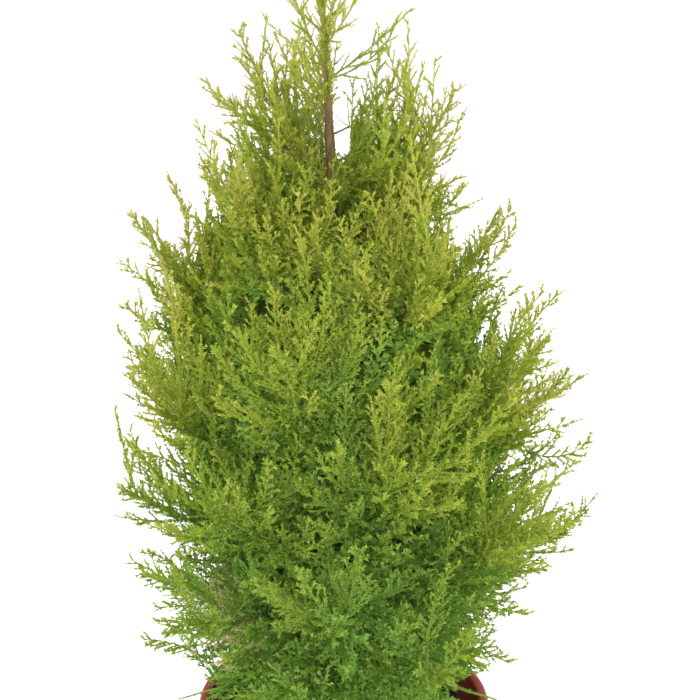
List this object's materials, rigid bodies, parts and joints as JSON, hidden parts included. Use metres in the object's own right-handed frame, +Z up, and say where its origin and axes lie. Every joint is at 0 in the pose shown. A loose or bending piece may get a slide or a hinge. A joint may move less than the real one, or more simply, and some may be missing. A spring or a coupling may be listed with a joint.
{
  "type": "potted lemon cypress",
  "caption": "Young lemon-scented conifer with a dense cone of upright feathery plumes on a slim trunk, standing in a round plastic nursery pot.",
  "frame": {"origin": "centre of the pot's flat underside, on the surface it stands on", "axes": "+Z up along the plant, +X to the viewer's right in the picture, -Y towards the viewer"},
  "size_m": [0.4478, 0.4511, 0.9749],
  "materials": {
    "pot_plastic": "satin",
    "soil": "rough",
    "bark": "rough",
    "foliage": "matte"
  },
  "bodies": {
    "root": {"bough_01": "bark", "bough_02": "bark", "bough_03": "bark", "bough_04": "bark", "bough_05": "bark", "bough_06": "bark", "bough_07": "bark", "bough_08": "bark", "bough_09": "bark", "bough_10": "bark", "bough_11": "bark", "bough_12": "bark", "bough_13": "bark", "bough_14": "bark", "bough_15": "bark", "bough_16": "bark", "bough_17": "bark", "bough_18": "bark", "bough_19": "bark", "bough_20": "bark", "bough_21": "bark", "bough_22": "bark", "foliage_01": "foliage", "foliage_02": "foliage", "foliage_03": "foliage", "foliage_04": "foliage", "foliage_05": "foliage", "foliage_06": "foliage", "foliage_07": "foliage", "foliage_08": "foliage", "foliage_09": "foliage", "foliage_10": "foliage", "foliage_11": "foliage", "foliage_12": "foliage", "foliage_13": "foliage", "foliage_14": "foliage", "foliage_15": "foliage", "foliage_16": "foliage", "foliage_17": "foliage", "foliage_18": "foliage", "foliage_19": "foliage", "foliage_20": "foliage", "foliage_21": "foliage", "foliage_22": "foliage", "foliage_23": "foliage", "foliage_24": "foliage", "foliage_25": "foliage", "foliage_26": "foliage", "foliage_27": "foliage", "foliage_28": "foliage", "foliage_29": "foliage", "foliage_30": "foliage", "foliage_31": "foliage", "foliage_32": "foliage", "foliage_33": "foliage", "foliage_leader": "foliage", "pot": "pot_plastic", "potting_soil": "soil", "trunk": "bark"}
  },
  "joints": []
}
